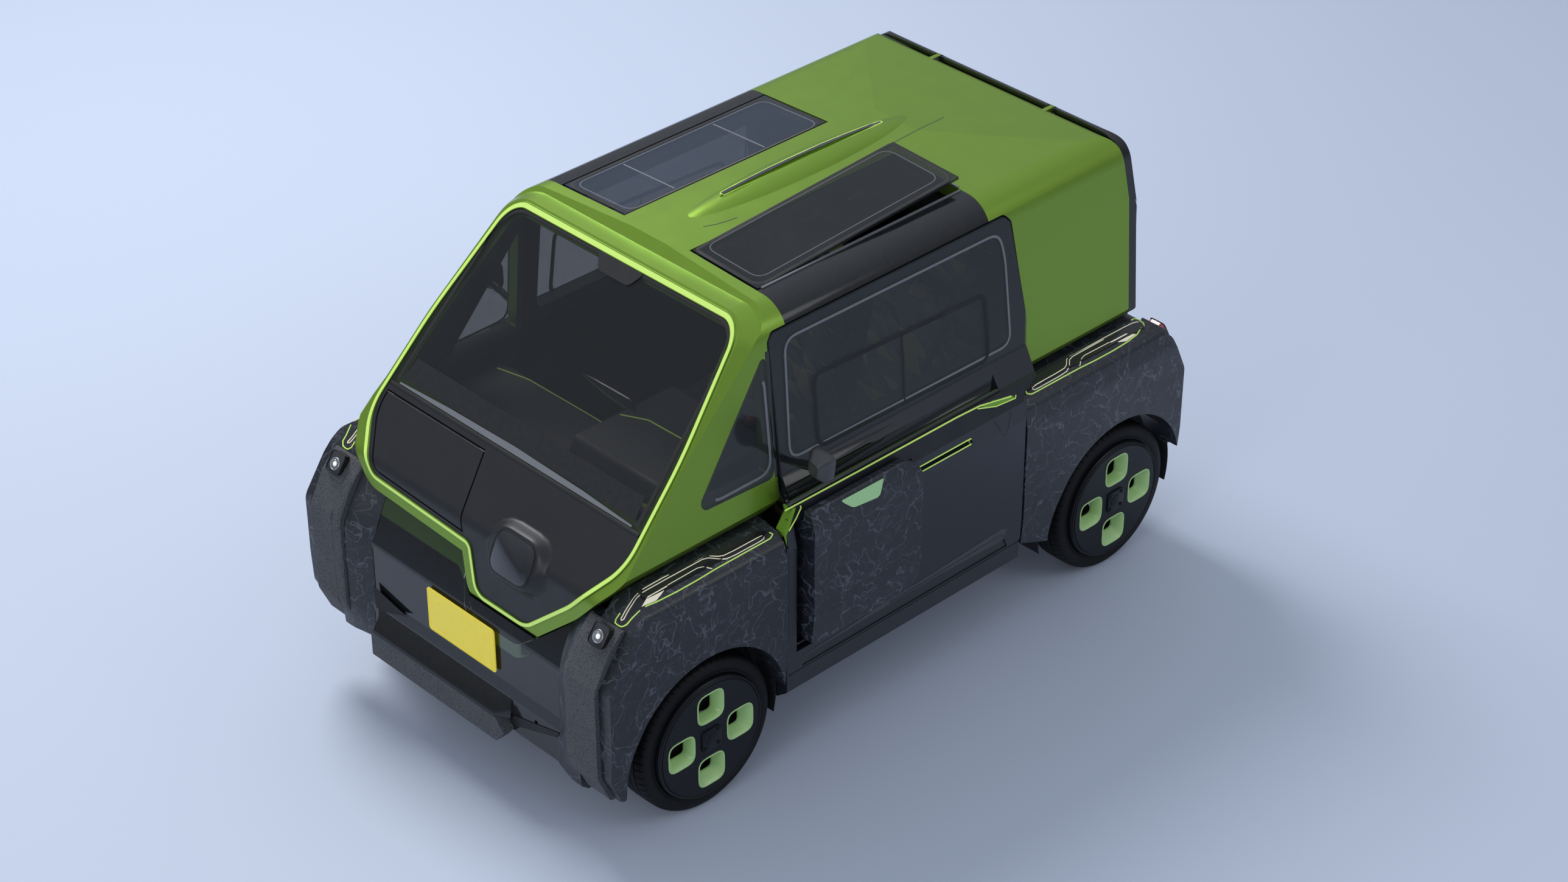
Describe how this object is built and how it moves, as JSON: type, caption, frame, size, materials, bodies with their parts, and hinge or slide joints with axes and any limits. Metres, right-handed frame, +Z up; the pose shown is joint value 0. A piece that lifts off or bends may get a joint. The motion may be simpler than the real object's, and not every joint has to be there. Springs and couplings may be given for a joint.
{
  "type": "two-seat electric city car",
  "caption": "Small electric city car with a hollow cabin, hinged doors with storage bins, roof hatches, tailgate, steered front wheels and blank number plate.",
  "frame": {"origin": "on the ground under the middle of the bounding box", "axes": "+Z up, -Y towards the front of the car, +X towards its left side"},
  "size_m": [1.562, 2.49, 1.5625],
  "materials": {
    "body_green": "metallic satin",
    "trim_lime": "gloss",
    "black_gloss": "gloss",
    "dark_glass": "tinted",
    "roof_glass": "tinted",
    "door_satin": "satin",
    "marbled": "marbled composite",
    "foam": "speckled foam",
    "tub_black": "matte",
    "plate_yellow": "satin",
    "lamp": "lens",
    "light_bar": "lens",
    "wheel_dark": "satin",
    "tyre": "rubber",
    "steel": "machined",
    "battery_case": "cast",
    "interior": "grained",
    "seat_fabric": "woven"
  },
  "bodies": {
    "body": {"battery": "battery_case", "cabin_shell": "body_green", "chassis_tub": "tub_black", "dashboard": "interior", "fender_front_left": "marbled", "fender_front_right": "marbled", "fender_lights": "light_bar", "fender_rear_left": "marbled", "fender_rear_right": "marbled", "front_axle": "steel", "front_foam": "foam", "front_mask": "black_gloss", "headlamps": "lamp", "mask_trim": "trim_lime", "nose_panel": "black_gloss", "number_plate": "plate_yellow", "quarter_glasses": "dark_glass", "rear_axle": "steel", "rear_foam": "foam", "rear_panel": "black_gloss", "roof_rails": "dark_glass", "seat_backs": "seat_fabric", "seat_cushions": "seat_fabric", "seat_frames": "interior", "sills": "door_satin", "tail_lamps": "lamp", "windscreen": "dark_glass"},
    "mask_lid": {"mask_lid": "black_gloss"},
    "tailgate": {"tailgate": "dark_glass"},
    "roof_hatch_left": {"roof_hatch_left": "roof_glass"},
    "roof_hatch_right": {"roof_hatch_right": "roof_glass"},
    "steering_wheel": {"steering_wheel": "interior"},
    "knuckle_left": {"knuckle_left": "steel"},
    "knuckle_right": {"knuckle_right": "steel"},
    "door_left": {"door_panel_left": "door_satin", "door_glass_left": "dark_glass", "door_mirror_left": "black_gloss"},
    "storage_bin_left": {"storage_bin_left": "marbled"},
    "wheel_front_left": {"wheel_front_left": "wheel_dark", "tyre_front_left": "tyre"},
    "wheel_rear_left": {"wheel_rear_left": "wheel_dark", "tyre_rear_left": "tyre"},
    "door_right": {"door_panel_right": "door_satin", "door_glass_right": "dark_glass", "door_mirror_right": "black_gloss"},
    "storage_bin_right": {"storage_bin_right": "marbled"},
    "wheel_front_right": {"wheel_front_right": "wheel_dark", "tyre_front_right": "tyre"},
    "wheel_rear_right": {"wheel_rear_right": "wheel_dark", "tyre_rear_right": "tyre"}
  },
  "joints": [
    {"name": "steer_left", "type": "hinge", "parent": "body", "child": "knuckle_left", "pos_m": [0.545, -0.82, 0.257], "axis": [0, 0, 1], "range_deg": [-30, 30]},
    {"name": "spin_front_left", "type": "hinge", "parent": "knuckle_left", "child": "wheel_front_left", "pos_m": [0.587, -0.82, 0.257], "axis": [1, 0, 0], "continuous": true},
    {"name": "spin_rear_left", "type": "hinge", "parent": "body", "child": "wheel_rear_left", "pos_m": [0.587, 0.96, 0.257], "axis": [1, 0, 0], "continuous": true},
    {"name": "door_left", "type": "hinge", "parent": "body", "child": "door_left", "pos_m": [0.694, -0.535, 0.6], "axis": [0, 0, -1], "range_deg": [0, 65]},
    {"name": "bin_left", "type": "hinge", "parent": "door_left", "child": "storage_bin_left", "pos_m": [0.69, -0.22, 0.444], "axis": [0, 1, 0], "range_deg": [0, 28]},
    {"name": "hatch_left", "type": "hinge", "parent": "body", "child": "roof_hatch_left", "pos_m": [0.147, -0.383, 1.508], "axis": [1, 0, 0], "range_deg": [-3.2, 14.8]},
    {"name": "steer_right", "type": "hinge", "parent": "body", "child": "knuckle_right", "pos_m": [-0.545, -0.82, 0.257], "axis": [0, 0, 1], "range_deg": [-30, 30]},
    {"name": "spin_front_right", "type": "hinge", "parent": "knuckle_right", "child": "wheel_front_right", "pos_m": [-0.587, -0.82, 0.257], "axis": [1, 0, 0], "continuous": true},
    {"name": "spin_rear_right", "type": "hinge", "parent": "body", "child": "wheel_rear_right", "pos_m": [-0.587, 0.96, 0.257], "axis": [1, 0, 0], "continuous": true},
    {"name": "door_right", "type": "hinge", "parent": "body", "child": "door_right", "pos_m": [-0.694, -0.535, 0.6], "axis": [0, 0, 1], "range_deg": [0, 65]},
    {"name": "bin_right", "type": "hinge", "parent": "door_right", "child": "storage_bin_right", "pos_m": [-0.69, -0.22, 0.444], "axis": [0, -1, 0], "range_deg": [0, 28]},
    {"name": "hatch_right", "type": "hinge", "parent": "body", "child": "roof_hatch_right", "pos_m": [-0.147, -0.383, 1.508], "axis": [1, 0, 0], "range_deg": [0, 18]},
    {"name": "steering_wheel", "type": "hinge", "parent": "body", "child": "steering_wheel", "pos_m": [0.262, -0.255, 0.94], "axis": [0, 0.8829, 0.4695], "range_deg": [-420, 420]},
    {"name": "mask_lid", "type": "hinge", "parent": "body", "child": "mask_lid", "pos_m": [-0.3, -0.99954, 0.9805], "axis": [-1, 0, 0], "range_deg": [0, 70]},
    {"name": "tailgate", "type": "hinge", "parent": "body", "child": "tailgate", "pos_m": [0, 1.04, 1.492], "axis": [1, 0, 0], "range_deg": [0, 80]}
  ],
  "couplings": [
    {"joint": "steer_right", "follows": "steer_left", "ratio": 1},
    {"joint": "steering_wheel", "follows": "steer_left", "ratio": 14}
  ]
}
